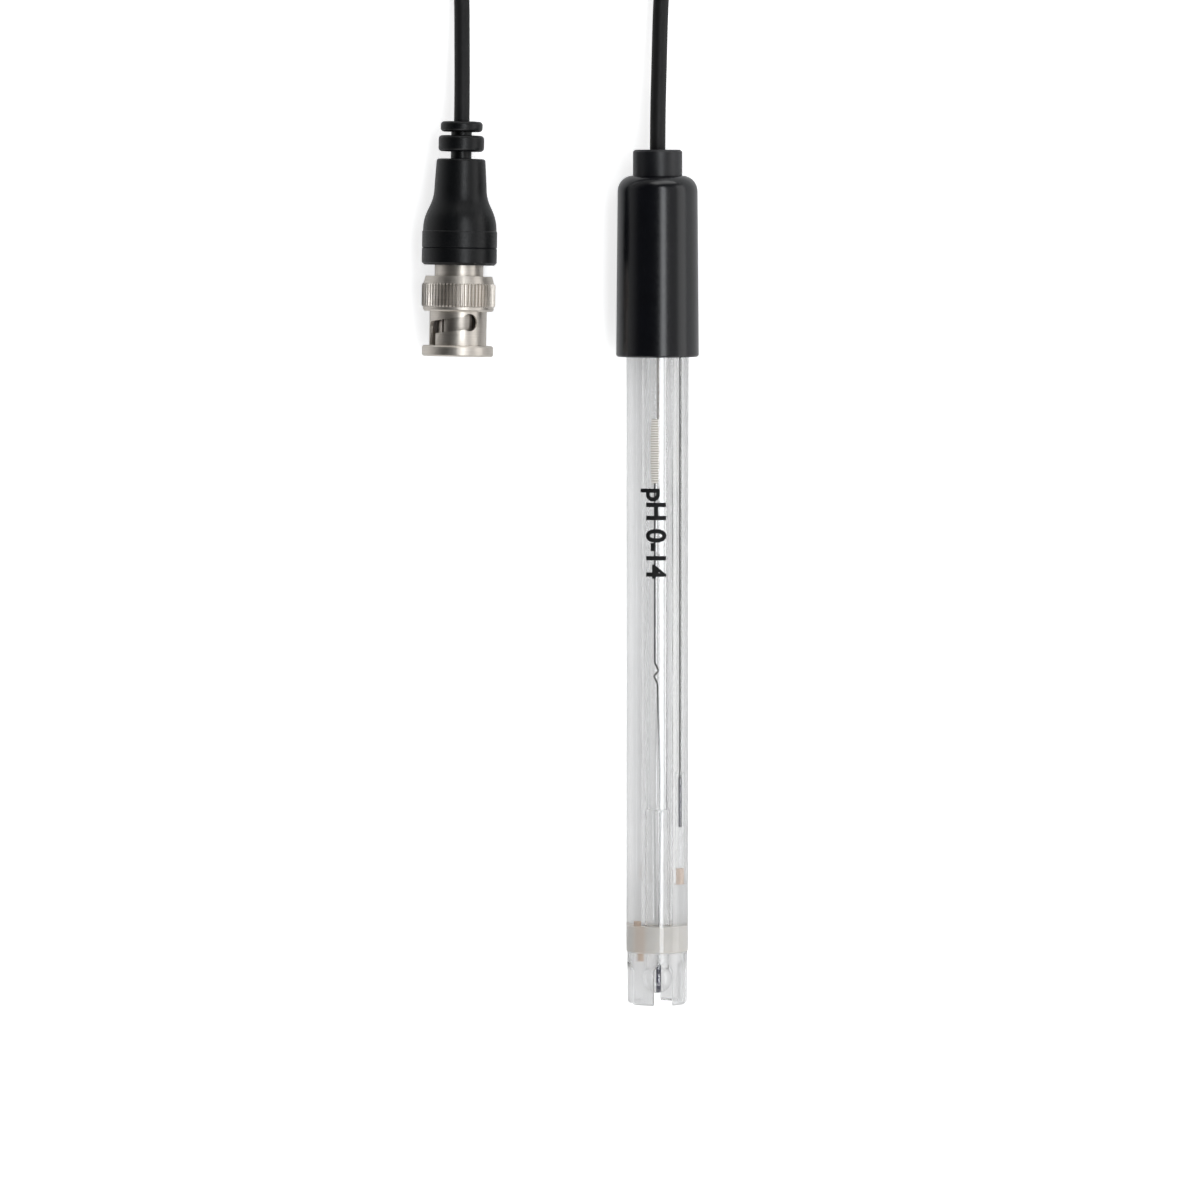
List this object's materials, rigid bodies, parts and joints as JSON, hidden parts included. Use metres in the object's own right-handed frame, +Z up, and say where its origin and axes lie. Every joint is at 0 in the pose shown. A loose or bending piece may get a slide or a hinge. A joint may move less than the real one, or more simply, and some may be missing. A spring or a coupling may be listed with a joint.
{
  "type": "ph electrode",
  "caption": "Slim pH electrode: clear shank with a glass bulb in a slotted guard, dark cap, and a cord to a bayonet plug.",
  "frame": {"origin": "on the surface that the electrode lies on, below the middle of the electrode without its cord", "axes": "+Z up, +Y along the electrode from its tip to its cord, +X to the right seen from above"},
  "size_m": [0.0536, 0.247, 0.0163],
  "materials": {
    "clear_polycarbonate": "clear moulded, polished",
    "stem_glass": "drawn clear glass",
    "clear_gel": "clear set gel",
    "seal_resin": "cast, slightly cloudy",
    "seal_rubber": "moulded",
    "porous_ceramic": "unglazed, porous",
    "silver": "drawn wire",
    "copper_core": "drawn wire, tinned",
    "silver_chloride": "dull coating",
    "fibre_wrap": "wound fibre",
    "cap_plastic": "moulded, glossy",
    "grommet_plastic": "moulded, satin",
    "cord_jacket": "extruded, satin",
    "tie_plastic": "flat band",
    "boot_rubber": "moulded, matte",
    "nickel_plate": "nickel-plated, turned",
    "spring_steel": "rolled",
    "white_dielectric": "turned PTFE",
    "gilt_contact": "gold-plated",
    "gasket_silicone": "moulded"
  },
  "bodies": {
    "electrode": {"body_tube": "clear_polycarbonate", "boot": "boot_rubber", "buffer_gel": "clear_gel", "cable_coil": "cord_jacket", "cable_grommet": "grommet_plastic", "cable_lead": "cord_jacket", "cable_tail": "cord_jacket", "cap": "cap_plastic", "cap_cable_end": "cord_jacket", "centre_pin": "gilt_contact", "chamber_gel": "clear_gel", "coil_tie": "tie_plastic", "core_lead": "copper_core", "crimp_ferrule": "nickel_plate", "gasket": "gasket_silicone", "glass_stem": "stem_glass", "inner_junction": "porous_ceramic", "insulator": "white_dielectric", "lead_wrap": "fibre_wrap", "outer_junction": "porous_ceramic", "plug_body": "nickel_plate", "plug_cable_end": "cord_jacket", "reference_element": "silver_chloride", "reference_gel": "clear_gel", "reference_tube": "stem_glass", "reference_wire": "silver", "shield_lead": "silver", "stem_element": "silver_chloride", "stem_wire": "silver", "tip_seal": "seal_resin", "top_seal": "seal_rubber", "wave_washer": "spring_steel"},
    "carrier": {"thrust_washer": "spring_steel"},
    "coupling": {"bayonet_sleeve": "nickel_plate", "retaining_ring": "spring_steel"}
  },
  "joints": [
    {"name": "coupling_slide", "type": "slide", "parent": "electrode", "child": "carrier", "axis": [-0.0192, -0.9998, 0], "range_m": [0, 0.0008], "stiffness_N_per_m": 500, "springref_m": -0.002, "deforming": ["wave_washer"]},
    {"name": "coupling_turn", "type": "hinge", "parent": "carrier", "child": "coupling", "pos_m": [-0.03863, 0.0428, 0.00725], "axis": [-0.0192, -0.9998, 0], "continuous": true}
  ]
}
